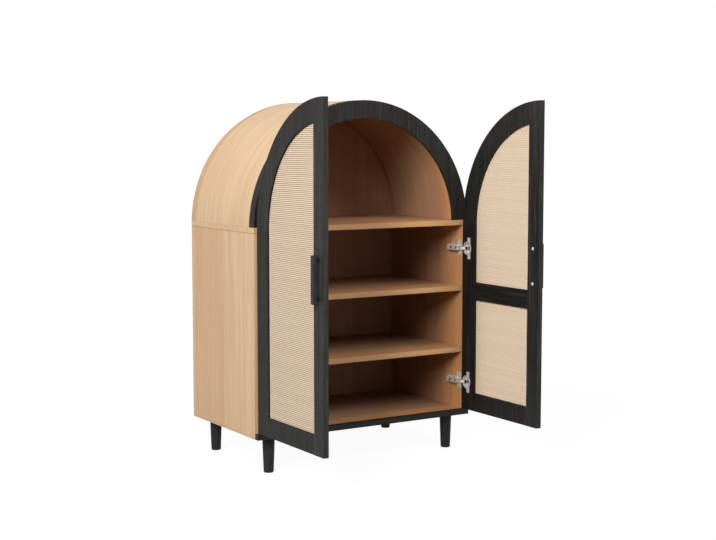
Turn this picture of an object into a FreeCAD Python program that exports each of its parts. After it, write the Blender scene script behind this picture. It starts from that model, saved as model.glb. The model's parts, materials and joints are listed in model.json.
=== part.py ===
import FreeCAD, Part
import os
import re
import sys

# Arched two-door cabinet: a box of veneered boards on four turned legs, with a bent half-round top,
# a black arch ring and plinth rail in front, and two black frame doors filled with woven cane.
# Lengths are millimetres. +X is to the right, +Y to the back and +Z up. The origin is on the floor,
# midway between the sides, and midway from the tips of the open doors to the screws in the back.
# The doors stand open at a right angle, and everything is made on the right and mirrored to the left.

doc = FreeCAD.newDocument("ArchedCabinet")
sheet = doc.addObject("Spreadsheet::Sheet", "Sizes")

SIZES = {
    # the carcass and its boards
    "width": 700, "carcass_depth": 386, "board": 15, "leg_height": 100, "rail_height": 16,
    "rail_thickness": 16, "shoulder_top": 672, "upper_shelf_top": 480, "lower_shelf_top": 299,
    "shelf_play": 0.5, "back_board": 8, "back_lap": 7, "hole_clearance": 0.1, "overrun": 5,
    # the arched top
    "arch_drop": 8, "ring_width": 50, "ring_face": 8, "ring_lip": 28, "hoop_depth": 28,
    # legs and what holds them
    "leg_inset_side": 54, "leg_inset_front": 25, "leg_inset_rear": 36, "leg_top_radius": 17.5,
    "leg_foot_radius": 14, "leg_foot_round": 0.6, "glide_radius": 13, "glide_height": 2,
    "glide_recess": 1,
    "bolt_radius": 4, "bolt_in_leg": 38, "bolt_in_nut": 11, "nut_radius": 6.5, "nut_height": 12,
    # small fittings inside the boards
    "dowel_radius": 4, "dowel_length": 30, "dowel_depth": 10, "dowel_inset": 60,
    "cam_radius": 7.5, "cam_height": 12, "cam_offset": 34, "cam_inset": 88,
    "cam_bolt_radius": 3, "cam_bolt_depth": 9, "pin_radius": 2.5, "pin_seat": 9, "pin_reach": 9,
    "pin_inset": 50, "screw_head_radius": 3, "screw_head_height": 2, "screw_radius": 1.5,
    "back_screw_length": 24,
    # the doors
    "door_thickness": 15, "door_gap": 2, "door_reveal": 1.5, "centre_gap": 4, "axis_inset": 7.25,
    "axis_forward": 14.75, "stile_width": 58, "meeting_width": 47, "bottom_width": 53,
    "brace_low": 444, "brace_height": 51, "brace_thickness": 7, "groove_depth": 8,
    "panel_thickness": 3, "panel_setback": 5,
    # the handles
    "handle_inset": 25, "handle_centre": 562, "handle_length": 122, "handle_width": 14,
    "handle_bar": 11.5, "handle_gap": 6.5, "handle_foot": 12, "handle_foot_width": 8,
    "handle_round": 1.5,
    "handle_screw_spacing": 96, "handle_screw_radius": 2, "handle_head_radius": 4.5,
    "handle_head_height": 2.5, "handle_screw_bite": 9,
    # the concealed hinges
    "hinge_inset": 81, "cup_inset": 22.5, "cup_radius": 17.5, "cup_wall": 1.2,
    "cup_depth": 12, "flange_thickness": 0.8, "flange_radius": 19, "flange_length": 62,
    "flange_width": 13, "flange_offset": 8, "cup_screw_spacing": 48, "cup_screw_length": 9,
    "cheek_depth": 3, "cheek_metal": 1.2, "cheek_play": 0.3,
    "plate_thickness": 2, "plate_back": 60, "plate_half_height": 8,
    "wing_back": 20, "wing_front": 2, "wing_half_height": 24, "plate_screw_back": 11,
    "plate_screw_spacing": 32, "plate_screw_length": 12, "arm_metal": 1.2, "arm_gap": 9.2,
    "arm_width": 16,
    "arm_top": 31, "arm_back": 55, "arm_front": 9, "nose_low": 15.8, "nose_high": 23,
    "pivot_inset": 19, "pivot_forward": 1, "nose_radius": 3.2, "hinge_pin_radius": 1.2,
    "pin_running_fit": 0.05, "link_height": 7, "link_eye_radius": 3, "link_half": 1.1,
    "link_knee_inward": 12, "link_knee_forward": 15.6, "link_tip_depth": 4, "link_tip_offset": 8.6,
}
for row, (alias, value) in enumerate(SIZES.items(), start=1):
    cell = "B" + str(row)
    sheet.set("A" + str(row), alias)
    sheet.set(cell, str(value))
    sheet.setAlias(cell, alias)
doc.recompute()

# Places that follow from the sizes, as formulas on the sheet.
HALF = "(width / 2)"
DOOR_WIDTH = "(width / 2 - door_reveal - centre_gap / 2)"
OPEN_GAP = "(axis_forward - axis_inset + door_reveal)"
FRONT = f"(({OPEN_GAP} + {DOOR_WIDTH} - carcass_depth - screw_head_height) / 2)"
BACK = f"({FRONT} + carcass_depth)"
SIDE_TOP = "(shoulder_top - board)"
ARCH_Z = "(shoulder_top - arch_drop)"
INNER_X = f"({HALF} - board)"
DOOR_INNER_X = f"({HALF} - axis_inset - axis_forward + door_gap)"
DOOR_OUTER_X = f"({DOOR_INNER_X} + door_thickness)"
DOOR_EDGE = f"({FRONT} - {OPEN_GAP})"
DOOR_TIP = f"({DOOR_EDGE} - {DOOR_WIDTH})"
DOOR_BOTTOM = "(leg_height + rail_height + door_gap)"
MEETING_EDGE = f"({DOOR_TIP} + meeting_width)"
STILE_EDGE = f"({DOOR_EDGE} - stile_width)"
ARCH_INNER = f"({DOOR_WIDTH} - stile_width)"
PANEL_X = f"({DOOR_OUTER_X} - panel_setback - panel_thickness)"
RAIL_TOP = f"({DOOR_BOTTOM} + bottom_width)"
CUP_Y = f"({DOOR_EDGE} - cup_inset)"
HANDLE_Y = f"({DOOR_TIP} + handle_inset)"
LEG_X = f"({HALF} - leg_inset_side)"


def formula(text):
    """A sum on the sheet's own names, in the form that an expression takes."""
    def on_sheet(word):
        return "Sizes." + word.group() if word.group() in SIZES else word.group()
    return re.sub(r"[a-z_]+", on_sheet, text)


def bind(feature, **formulas):
    for prop, text in formulas.items():
        feature.setExpression(prop, formula(text))
    return feature


def at(feature, x, y, z):
    for axis, text in zip("xyz", (x, y, z)):
        feature.setExpression("Placement.Base." + axis, formula(text))
    return feature


def block(name, x, y, z, across, deep, tall):
    """A box from its lowest corner and its three sizes."""
    box = bind(doc.addObject("Part::Box", name), Length=across, Width=deep, Height=tall)
    return at(box, x, y, z)


TURNS = {
    "x": FreeCAD.Rotation(FreeCAD.Vector(0, 1, 0), 90),
    "y": FreeCAD.Rotation(FreeCAD.Vector(1, 0, 0), -90),
    "z": FreeCAD.Rotation(),
}


def rod(name, axis, radius, length, x, y, z):
    """A cylinder that starts at a point and runs along +X, +Y or +Z."""
    cylinder = doc.addObject("Part::Cylinder", name)
    cylinder.Placement.Rotation = TURNS[axis]
    bind(cylinder, Radius=radius, Height=length)
    return at(cylinder, x, y, z)


def joined(name, parts):
    fused = doc.addObject("Part::MultiFuse", name)
    fused.Shapes = parts
    fused.Refine = True
    return fused


def common(name, parts):
    shared = doc.addObject("Part::MultiCommon", name)
    shared.Shapes = parts
    return shared


def minus(name, base, tools):
    """The base with every tool taken away."""
    removed = tools[0] if len(tools) == 1 else joined(name + "_tools", tools)
    difference = doc.addObject("Part::Cut", name)
    difference.Base = base
    difference.Tool = removed
    return difference


def separate(name, solids):
    """Like solids that stay apart and share one name."""
    together = doc.addObject("Part::Compound", name)
    together.Links = solids
    return together


def mirrored(name, source):
    image = doc.addObject("Part::Mirroring", name)
    image.Source = source
    image.Base = FreeCAD.Vector()
    image.Normal = FreeCAD.Vector(1, 0, 0)
    return image


PIECES = {}


def keep(name, feature):
    """A finished piece, under the name that a person would use."""
    feature.Label = name
    PIECES[name] = feature
    return feature


def keep_pair(name, feature):
    keep("right_" + name, feature)
    keep("left_" + name, mirrored("left_" + name, feature))


def keep_both(name, features):
    """Like solids on the right, with their mirror images on the left, under one name."""
    images = [mirrored(feature.Name + "_left", feature) for feature in features]
    keep(name, separate(name, features + images))


# Fastener places along the depth, shared by the boards that meet there.
DOWEL_YS = [f"({FRONT} + dowel_inset)", f"({BACK} - dowel_inset)"]
CAM_YS = [f"({FRONT} + cam_inset)", f"({BACK} - cam_inset)"]
ARCH_DOWEL_SHARES = (0, 0.5, 1)
ARCH_DOWEL_YS = [f"({FRONT} + dowel_inset + (carcass_depth - 2 * dowel_inset) * {share})"
                 for share in ARCH_DOWEL_SHARES]
PIN_YS = [f"({FRONT} + pin_inset)", f"({BACK} - pin_inset)"]
HINGES = {"lower": f"({DOOR_BOTTOM} + hinge_inset)", "upper": "(shoulder_top - hinge_inset)"}
BOARD_MID_Z = "(leg_height + board / 2)"
DOWEL_HOLE = "dowel_radius + hole_clearance"
CAM_HOLE = "cam_radius + hole_clearance"


# Dowels: beech pegs that place the bottom, the shoulder board and the foot of the arch.
def dowel_set(name, radius):
    rods = []
    for index, y in enumerate(DOWEL_YS):
        rods.append(rod(f"{name}_bottom_{index}", "x", radius, "dowel_length",
                        f"{INNER_X} + dowel_depth - dowel_length", y, BOARD_MID_Z))
        rods.append(rod(f"{name}_shoulder_{index}", "z", radius, "dowel_length",
                        f"{HALF} - board / 2", y, f"{SIDE_TOP} + dowel_depth - dowel_length"))
    return rods


def cam_set(name, radius):
    rods = []
    for index, y in enumerate(CAM_YS):
        rods.append(rod(f"{name}_bottom_{index}", "z", radius, "cam_height",
                        f"{INNER_X} - cam_offset", y, "leg_height"))
        rods.append(rod(f"{name}_side_{index}", "x", radius, "cam_height",
                        INNER_X, y, f"{SIDE_TOP} - cam_offset"))
    return rods


def cam_bolt_set(name, radius):
    rods = []
    for index, y in enumerate(CAM_YS):
        rods.append(rod(f"{name}_bottom_{index}", "x", radius, "cam_offset - cam_radius + cam_bolt_depth",
                        f"{INNER_X} - cam_offset + cam_radius", y, BOARD_MID_Z))
        rods.append(rod(f"{name}_side_{index}", "z", radius, "cam_offset - cam_radius + cam_bolt_depth",
                        f"{HALF} - board / 2", y, f"{SIDE_TOP} - cam_offset + cam_radius"))
    return rods


keep_both("cam_locks", cam_set("cam", "cam_radius"))
keep_both("cam_bolts", cam_bolt_set("cam_bolt", "cam_bolt_radius"))


def joint_holes(name):
    """Clearance holes for every dowel, cam and cam bolt on the right."""
    holes = dowel_set(name + "_dowel", DOWEL_HOLE)
    holes += cam_set(name + "_cam", CAM_HOLE)
    holes += cam_bolt_set(name + "_bolt", "cam_bolt_radius + hole_clearance")
    return holes


# Shelf pins: plain steel pegs, four under each shelf, pushed into blind holes in the sides.
def pin_set(name, radius):
    rods = []
    for shelf in ("upper_shelf_top", "lower_shelf_top"):
        for index, y in enumerate(PIN_YS):
            rods.append(rod(f"{name}_{shelf}_{index}", "x", radius, "pin_seat + pin_reach",
                            f"{INNER_X} - pin_reach", y, f"{shelf} - board - pin_radius"))
    return rods


keep_both("shelf_pins", pin_set("pin", "pin_radius"))


# Hinge plates: winged steel plates on the sides, with two screws each and the hinge arm on top.
def plate_screw_set(name, shank, head, extra):
    screws = []
    for level, height in HINGES.items():
        for index, sign in enumerate("+-"):
            z = f"{height} {sign} plate_screw_spacing / 2"
            y = f"{FRONT} + plate_screw_back"
            shaft = rod(f"{name}_{level}_{index}_shank", "x", shank, f"plate_screw_length + {extra}",
                        f"{INNER_X} - {extra}", y, z)
            cap = rod(f"{name}_{level}_{index}_head", "x", head, "screw_head_height",
                      f"{INNER_X} - plate_thickness - screw_head_height", y, z)
            screws.append(joined(f"{name}_{level}_{index}", [shaft, cap]))
    return screws


keep_both("hinge_plate_screws", plate_screw_set("plate_screw", "screw_radius", "screw_head_radius",
                                                "plate_thickness"))

# Back screws: small screws through both backs, into the sides, the bottom board and the hoop.
BACK_LAP_X = f"({INNER_X} + back_lap / 2)"
SIDE_SCREW_SHARES = (0.06, 0.35, 0.65, 0.94)
BOTTOM_SCREW_SHARES = (0.25, 0.75)
HOOP_SCREW_ANGLES = (15, 45, 75)
side_places = [(BACK_LAP_X, f"leg_height + {share} * ({SIDE_TOP} - leg_height)")
               for share in SIDE_SCREW_SHARES]
bottom_places = [(f"{INNER_X} * {share}", BOARD_MID_Z) for share in BOTTOM_SCREW_SHARES]
arch_places = [(f"{BACK_LAP_X} * cos({angle})", f"{ARCH_Z} + {BACK_LAP_X} * sin({angle})")
               for angle in HOOP_SCREW_ANGLES]


def back_shanks(name, places, extra="0"):
    return [rod(f"{name}_{index}", "y", f"screw_radius + {extra}", f"back_screw_length + {extra} + overrun",
                x, f"{BACK} - back_screw_length - {extra}", z) for index, (x, z) in enumerate(places)]


back_screws = []
for index, (x, z) in enumerate(side_places + bottom_places + arch_places):
    shaft = rod(f"back_screw_{index}_shank", "y", "screw_radius", "back_screw_length", x,
                f"{BACK} - back_screw_length", z)
    cap = rod(f"back_screw_{index}_head", "y", "screw_head_radius", "screw_head_height", x, BACK, z)
    back_screws.append(joined(f"back_screw_{index}", [shaft, cap]))
keep_both("back_panel_screws", back_screws)


def both_sides(tools):
    return tools + [mirrored(tool.Name + "_left", tool) for tool in tools]


# Side panels: full height from the legs to the shoulder board, rebated for the back.
side = block("side_blank", INNER_X, FRONT, "leg_height", "board", "carcass_depth",
             f"{SIDE_TOP} - leg_height")
side_rebate = block("side_rebate", f"{INNER_X} - overrun", f"{BACK} - back_board", "leg_height - overrun",
                    "back_lap + overrun", "back_board + overrun", "shoulder_top")
side_screws = [rod(f"side_hole_{level}_{index}", "x", "screw_radius + hole_clearance",
                   "plate_screw_length + hole_clearance", INNER_X, f"{FRONT} + plate_screw_back",
                   f"{height} {sign} plate_screw_spacing / 2")
               for level, height in HINGES.items() for index, sign in enumerate("+-")]
keep_pair("side_panel", minus("side_panel", side, [side_rebate] + joint_holes("side_joint")
                              + pin_set("side_pin", "pin_radius + hole_clearance") + side_screws
                              + back_shanks("side_back_hole", side_places, "hole_clearance")))

# Legs: turned tapered legs on a hanger bolt that runs up into a nut in the bottom board.
LEG_YS = {"front": f"({FRONT} + leg_inset_front)", "rear": f"({BACK} - leg_inset_rear)"}
bolts = []
nuts = []
glides = []
for end, y in LEG_YS.items():
    cone = doc.addObject("Part::Cone", end + "_leg_cone")
    bind(cone, Radius1="leg_foot_radius", Radius2="leg_top_radius", Height="leg_height - glide_height")
    at(cone, LEG_X, y, "glide_height")
    foot = doc.addObject("Part::Chamfer", end + "_leg_foot")
    foot.Base = cone
    doc.recompute()
    rims = [index for index, edge in enumerate(cone.Shape.Edges, start=1)
            if edge.BoundBox.ZMax < SIZES["leg_height"] / 2 and edge.Closed]
    foot.Edges = [(index, SIZES["leg_foot_round"], SIZES["leg_foot_round"]) for index in rims]
    bore = rod(end + "_leg_bore", "z", "bolt_radius + hole_clearance", "bolt_in_leg + overrun", LEG_X, y,
               "leg_height - bolt_in_leg")
    recess = rod(end + "_leg_recess", "z", "glide_radius + hole_clearance", "glide_recess", LEG_X, y,
                 "glide_height")
    keep_pair(end + "_leg", minus(end + "_leg", foot, [bore, recess]))
    bolts.append(rod(end + "_bolt", "z", "bolt_radius", "bolt_in_leg + bolt_in_nut", LEG_X, y,
                     "leg_height - bolt_in_leg"))
    nut = rod(end + "_nut", "z", "nut_radius", "nut_height", LEG_X, y, "leg_height")
    nut_bore = rod(end + "_nut_bore", "z", "bolt_radius + hole_clearance", "bolt_in_nut", LEG_X, y,
                   "leg_height")
    nuts.append(minus(end + "_insert_nut", nut, [nut_bore]))
    glides.append(rod(end + "_glide", "z", "glide_radius", "glide_height + glide_recess", LEG_X, y, "0"))
keep_both("leg_bolts", bolts)
keep_both("leg_insert_nuts", nuts)
keep_both("foot_glides", glides)

# Bottom panel: between the sides, bored from below for the cams and the leg nuts.
bottom = block("bottom_blank", f"-{INNER_X}", FRONT, "leg_height", "width - 2 * board",
               "carcass_depth - back_board", "board")
bottom_right = joint_holes("bottom_joint")
bottom_right += [rod(f"bottom_nut_{end}", "z", "nut_radius + hole_clearance", "nut_height + hole_clearance",
                     LEG_X, y, "leg_height") for end, y in LEG_YS.items()]
bottom_right += back_shanks("bottom_back_hole", bottom_places, "hole_clearance")
keep("bottom_panel", minus("bottom_panel", bottom, both_sides(bottom_right)))

# Front rail: a black rail over the front edges, as high as one board, that the doors close above.
keep("front_rail", block("front_rail", f"-{HALF}", f"{FRONT} - rail_thickness", "leg_height", "width",
                         "rail_thickness", "rail_height"))


# Arch dowels and the shoulder board, which lies on the sides and carries the arched top.
def arch_dowel_set(name, radius):
    return [rod(f"{name}_{index}", "z", radius, "dowel_length", f"{HALF} - board / 2", y,
                "shoulder_top - dowel_depth")
            for index, y in enumerate(ARCH_DOWEL_YS)]


def shoulder_tools(name):
    tools = dowel_set(name + "_dowel", DOWEL_HOLE)
    tools += cam_bolt_set(name + "_bolt", "cam_bolt_radius + hole_clearance")
    return tools + arch_dowel_set(name + "_arch", DOWEL_HOLE)


keep_both("assembly_dowels", dowel_set("dowel", "dowel_radius")
          + arch_dowel_set("arch_dowel", "dowel_radius"))
shoulder = block("shoulder_blank", f"-{HALF}", FRONT, SIDE_TOP, "width", "carcass_depth", "board")
keep("shoulder_board", minus("shoulder_board", shoulder, both_sides(shoulder_tools("shoulder"))))

# Shelves: two loose boards with their front edges level with the sides.
for shelf in ("upper", "lower"):
    keep(shelf + "_shelf", block(shelf + "_shelf", f"-{INNER_X} + shelf_play", FRONT,
                                 f"{shelf}_shelf_top - board", "width - 2 * board - 2 * shelf_play",
                                 "carcass_depth - back_board - shelf_play", "board"))

# Backs: one thin board behind the compartments, and a half disc behind the arched top.
lower_back = block("lower_back_blank", f"-{INNER_X} - back_lap", f"{BACK} - back_board", "leg_height",
                   "width - 2 * board + 2 * back_lap", "back_board", f"{SIDE_TOP} - leg_height")
lower_back_holes = back_shanks("lower_back_hole", side_places + bottom_places, "hole_clearance")
keep("lower_back_panel", minus("lower_back_panel", lower_back, both_sides(lower_back_holes)))
above = block("above_shoulder", f"-{HALF}", FRONT, "shoulder_top", "width", "carcass_depth", HALF)


def half_hoop(name, outer, inner, start, deep):
    """A half ring over the shoulder board, from one depth to another."""
    disc = rod(name + "_outer", "y", outer, deep, "0", start, ARCH_Z)
    hollow = rod(name + "_inner", "y", inner, f"{deep} + 2 * overrun", "0", f"{start} - overrun", ARCH_Z)
    ring = minus(name + "_round", disc, [hollow])
    return common(name, [ring, above])


back_disc = rod("arch_back_disc", "y", f"{HALF} - board + back_lap", "back_board", "0",
                f"{BACK} - back_board", ARCH_Z)
arch_back = common("arch_back_blank", [back_disc, above])
arch_back_holes = back_shanks("arch_back_hole", arch_places, "hole_clearance")
keep("arch_back_panel", minus("arch_back_panel", arch_back, both_sides(arch_back_holes)))

# The arched top: a black ring in front, a bent shell, and a hoop behind that is rebated for the back.
ring_plate = half_hoop("ring_plate", HALF, f"{HALF} - ring_width", FRONT, "ring_face")
ring_lip = half_hoop("ring_lip", HALF, f"{HALF} - board", f"{FRONT} + ring_face", "ring_lip - ring_face")
keep("arch_front_ring", joined("arch_front_ring", [ring_plate, ring_lip]))
shell_tube = half_hoop("shell_tube", HALF, f"{HALF} - board", f"{FRONT} + ring_lip",
                       "carcass_depth - ring_lip - hoop_depth")
keep("arch_shell", minus("arch_shell", shell_tube, both_sides(arch_dowel_set("shell_dowel", DOWEL_HOLE))))
hoop = half_hoop("hoop_tube", HALF, f"{HALF} - board", f"{BACK} - hoop_depth", "hoop_depth")
hoop_rebate = rod("hoop_rebate", "y", f"{HALF} - board + back_lap", "back_board + overrun", "0",
                  f"{BACK} - back_board", ARCH_Z)
hoop_holes = back_shanks("hoop_hole", arch_places, "hole_clearance")
keep("arch_back_hoop", minus("arch_back_hoop", hoop, [hoop_rebate] + both_sides(hoop_holes)))

# Doors: stiles, rails and a curved top rail with a groove that holds the woven panel.
door_box = block("door_above_spring", DOOR_INNER_X, MEETING_EDGE, ARCH_Z, "door_thickness",
                 f"{DOOR_WIDTH} - meeting_width", DOOR_WIDTH)


def door_disc(name, radius, x, thick):
    return rod(name, "x", radius, thick, x, DOOR_TIP, ARCH_Z)


def cup_tools(name):
    return [rod(f"{name}_{level}", "x", "cup_radius + hole_clearance", "cup_depth + hole_clearance",
                DOOR_INNER_X, CUP_Y, height) for level, height in HINGES.items()]


FLANGE_Y = f"({CUP_Y} - flange_offset)"


def cup_screw_set(name, shank, head):
    screws = []
    for level, height in HINGES.items():
        for index, sign in enumerate("+-"):
            z = f"{height} {sign} cup_screw_spacing / 2"
            shaft = rod(f"{name}_{level}_{index}_shank", "x", shank, "cup_screw_length + flange_thickness",
                        f"{DOOR_INNER_X} - flange_thickness", FLANGE_Y, z)
            cap = rod(f"{name}_{level}_{index}_head", "x", head, "flange_thickness",
                      f"{DOOR_INNER_X} - 2 * flange_thickness", FLANGE_Y, z)
            screws.append(joined(f"{name}_{level}_{index}", [shaft, cap]))
    return screws


cup_screws = separate("hinge_cup_screws", cup_screw_set("cup_screw", "screw_radius", "screw_head_radius"))
keep_pair("hinge_cup_screws", cup_screws)
cup_screw_holes = [rod(f"cup_screw_hole_{level}_{index}", "x", "screw_radius + hole_clearance",
                       "cup_screw_length + hole_clearance", DOOR_INNER_X, FLANGE_Y,
                       f"{height} {sign} cup_screw_spacing / 2")
                   for level, height in HINGES.items() for index, sign in enumerate("+-")]

stile = block("hinge_stile_blank", DOOR_INNER_X, STILE_EDGE, DOOR_BOTTOM, "door_thickness", "stile_width",
              f"{ARCH_Z} - {DOOR_BOTTOM}")
stile_groove = block("hinge_stile_groove", PANEL_X, f"{STILE_EDGE} - overrun", DOOR_BOTTOM,
                     "panel_thickness", "groove_depth + overrun", f"{ARCH_Z} - {DOOR_BOTTOM} + overrun")
stile_holes = [stile_groove] + cup_tools("stile_cup") + cup_screw_holes
keep_pair("hinge_stile", minus("hinge_stile", stile, stile_holes))

DOOR_HEIGHT = f"({ARCH_Z} - {DOOR_BOTTOM} + {DOOR_WIDTH})"
meeting = block("meeting_stile_blank", DOOR_INNER_X, DOOR_TIP, DOOR_BOTTOM, "door_thickness", "meeting_width",
                DOOR_HEIGHT)
meeting_round = door_disc("meeting_round", DOOR_WIDTH, DOOR_INNER_X, "door_thickness")
meeting_below = block("meeting_below", DOOR_INNER_X, DOOR_TIP, DOOR_BOTTOM, "door_thickness", "meeting_width",
                      f"{ARCH_Z} - {DOOR_BOTTOM}")
meeting_shape = common("meeting_shape", [meeting, joined("meeting_limit", [meeting_round, meeting_below])])
meeting_slot = block("meeting_slot", PANEL_X, f"{MEETING_EDGE} - groove_depth", DOOR_BOTTOM,
                     "panel_thickness", "groove_depth + overrun", DOOR_HEIGHT)
meeting_slot_round = door_disc("meeting_slot_round", f"{ARCH_INNER} + groove_depth", PANEL_X,
                               "panel_thickness")
meeting_slot_low = block("meeting_slot_low", PANEL_X, DOOR_TIP, DOOR_BOTTOM, "panel_thickness",
                         "stile_width", f"{ARCH_Z} - {DOOR_BOTTOM}")
meeting_groove = common("meeting_groove", [meeting_slot, joined("meeting_slot_limit",
                                                                [meeting_slot_round, meeting_slot_low])])


def handle_screw_set(name, shank, head):
    """Screws from inside the door into the feet of the handle."""
    screws = []
    for index, sign in enumerate("+-"):
        z = f"handle_centre {sign} handle_screw_spacing / 2"
        shaft = rod(f"{name}_{index}_shank", "x", shank, "door_thickness + handle_screw_bite",
                    DOOR_INNER_X, HANDLE_Y, z)
        cap = rod(f"{name}_{index}_head", "x", head, "handle_head_height",
                  f"{DOOR_INNER_X} - handle_head_height / 2", HANDLE_Y, z)
        screws.append(joined(f"{name}_{index}", [shaft, cap]))
    return screws


handle_screws = separate("handle_screws", handle_screw_set("handle_screw", "handle_screw_radius",
                                                           "handle_head_radius"))
keep_pair("handle_screws", handle_screws)


def handle_holes(name):
    return handle_screw_set(name, "handle_screw_radius + hole_clearance",
                            "handle_head_radius + hole_clearance")


meeting_holes = [meeting_groove] + handle_holes("stile_hole")
keep_pair("meeting_stile", minus("meeting_stile", meeting_shape, meeting_holes))

arch_ring = minus("arch_rail_ring", door_disc("arch_rail_outer", DOOR_WIDTH, DOOR_INNER_X, "door_thickness"),
                  [door_disc("arch_rail_inner", ARCH_INNER, DOOR_INNER_X, "door_thickness")])
arch_piece = common("arch_rail_piece", [arch_ring, door_box])
arch_groove = door_disc("arch_rail_groove", f"{ARCH_INNER} + groove_depth", PANEL_X, "panel_thickness")
keep_pair("arch_rail", minus("arch_rail", arch_piece, [arch_groove]))

RAIL_SPAN = f"({DOOR_WIDTH} - stile_width - meeting_width)"
rail = block("bottom_rail_blank", DOOR_INNER_X, MEETING_EDGE, DOOR_BOTTOM, "door_thickness", RAIL_SPAN,
             "bottom_width")
tongue = block("bottom_rail_tongue", PANEL_X, f"{MEETING_EDGE} - groove_depth", DOOR_BOTTOM,
               "panel_thickness", f"{RAIL_SPAN} + 2 * groove_depth", "bottom_width - groove_depth")
rail_groove = block("bottom_rail_groove", PANEL_X, f"{MEETING_EDGE} - overrun", f"{RAIL_TOP} - groove_depth",
                    "panel_thickness", f"{RAIL_SPAN} + 2 * overrun", "groove_depth + overrun")
keep_pair("bottom_rail", minus("bottom_rail", joined("bottom_rail_body", [rail, tongue]), [rail_groove]))

keep_pair("brace_rail", block("brace_rail", DOOR_INNER_X, MEETING_EDGE, "brace_low", "brace_thickness",
                              RAIL_SPAN, "brace_height"))

# Woven panel: a stiff sheet of woven cane, let into the groove all round.
panel_low = block("panel_low", PANEL_X, f"{MEETING_EDGE} - groove_depth", f"{RAIL_TOP} - groove_depth",
                  "panel_thickness", f"{RAIL_SPAN} + 2 * groove_depth",
                  f"{ARCH_Z} - {RAIL_TOP} + groove_depth")
panel_window = block("panel_window", PANEL_X, f"{MEETING_EDGE} - groove_depth", ARCH_Z, "panel_thickness",
                     f"{RAIL_SPAN} + 2 * groove_depth", DOOR_WIDTH)
panel_disc = door_disc("panel_disc", f"{ARCH_INNER} + groove_depth", PANEL_X, "panel_thickness")
panel_top = common("panel_top", [panel_window, panel_disc])
keep_pair("rattan_panel", joined("rattan_panel", [panel_low, panel_top]))

# Handles: a flat bar on two feet, screwed on through the meeting stile.
bar = block("handle_bar_blank", f"{DOOR_OUTER_X} + handle_gap", f"{HANDLE_Y} - handle_width / 2",
            "handle_centre - handle_length / 2", "handle_bar", "handle_width", "handle_length")
feet = [block(f"handle_foot_{index}", DOOR_OUTER_X, f"{HANDLE_Y} - handle_foot_width / 2",
              f"handle_centre {sign} handle_screw_spacing / 2 - handle_foot / 2",
              "handle_gap + handle_bar / 2", "handle_foot_width", "handle_foot")
        for index, sign in enumerate("+-")]
doc.recompute()
soft_bar = doc.addObject("Part::Fillet", "handle_bar_rounded")
soft_bar.Base = bar
soft_bar.Edges = [(index, SIZES["handle_round"], SIZES["handle_round"])
                  for index in range(1, len(bar.Shape.Edges) + 1)]
handle_blank = joined("handle_blank", [soft_bar] + feet)
keep_pair("handle", minus("handle", handle_blank, handle_holes("handle_hole")))

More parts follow.
